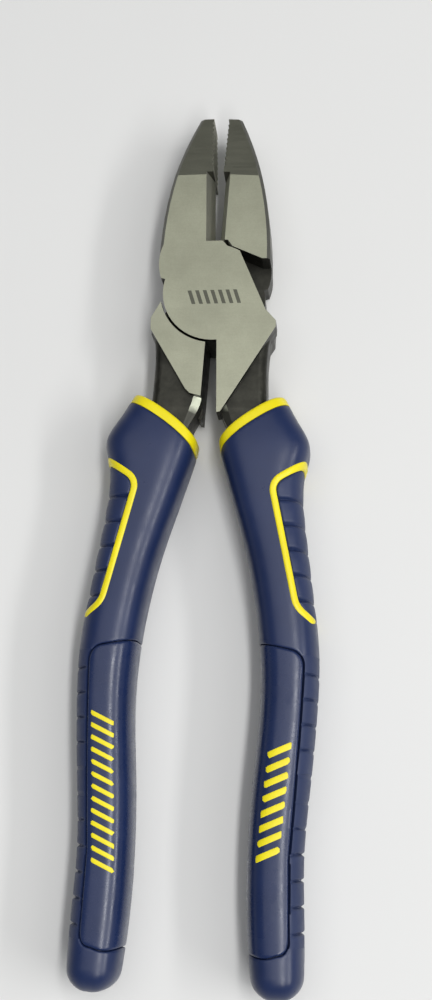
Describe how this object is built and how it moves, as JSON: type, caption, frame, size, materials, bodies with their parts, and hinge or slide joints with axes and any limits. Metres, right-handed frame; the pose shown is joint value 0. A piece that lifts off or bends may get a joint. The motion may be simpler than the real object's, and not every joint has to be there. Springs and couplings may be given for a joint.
{
  "type": "lineman pliers",
  "caption": "Side-cutting lineman pliers: two lapped forged halves turning on a flush rivet, with flat serrated jaws, a knife section and moulded navy and yellow grips.",
  "frame": {"origin": "on the pivot axis, in the plane of the head's flat back face", "axes": "+Y along the tool to the nose, +Z out of the head's front face along the pivot axis, +X towards the handle of the front half"},
  "size_m": [0.064, 0.2395, 0.0212],
  "materials": {
    "ground_steel": "ground faces with fine grinding lines; the shanks below them are black oxide",
    "rivet_steel": "ground flush with the head",
    "yellow_core": "hard yellow nylon, slightly satin",
    "navy_shell": "navy moulded skin with a fine satin grain",
    "navy_pad": "softer navy pad with grooves across it",
    "navy_panel": "smooth navy panel, a little glossier",
    "navy_strip": "soft grooved strip, matt",
    "yellow_mark": "yellow inlaid bars"
  },
  "bodies": {
    "back_half": {"back_lever": "ground_steel", "left_grip_core": "yellow_core", "left_grip_shell": "navy_shell", "left_finger_pad": "navy_pad", "left_accent_band": "yellow_core", "left_palm_panel": "navy_panel", "left_rib_strip": "navy_strip", "left_panel_marks": "yellow_mark"},
    "front_half": {"front_lever": "ground_steel", "pivot_rivet": "rivet_steel", "right_grip_core": "yellow_core", "right_grip_shell": "navy_shell", "right_finger_pad": "navy_pad", "right_accent_band": "yellow_core", "right_palm_panel": "navy_panel", "right_rib_strip": "navy_strip", "right_panel_marks": "yellow_mark"}
  },
  "joints": [
    {"name": "jaw_pivot", "type": "hinge", "parent": "back_half", "child": "front_half", "pos_m": [0, 0, 0.008], "axis": [0, 0, 1], "range_deg": [-4.4, 26.3]}
  ]
}
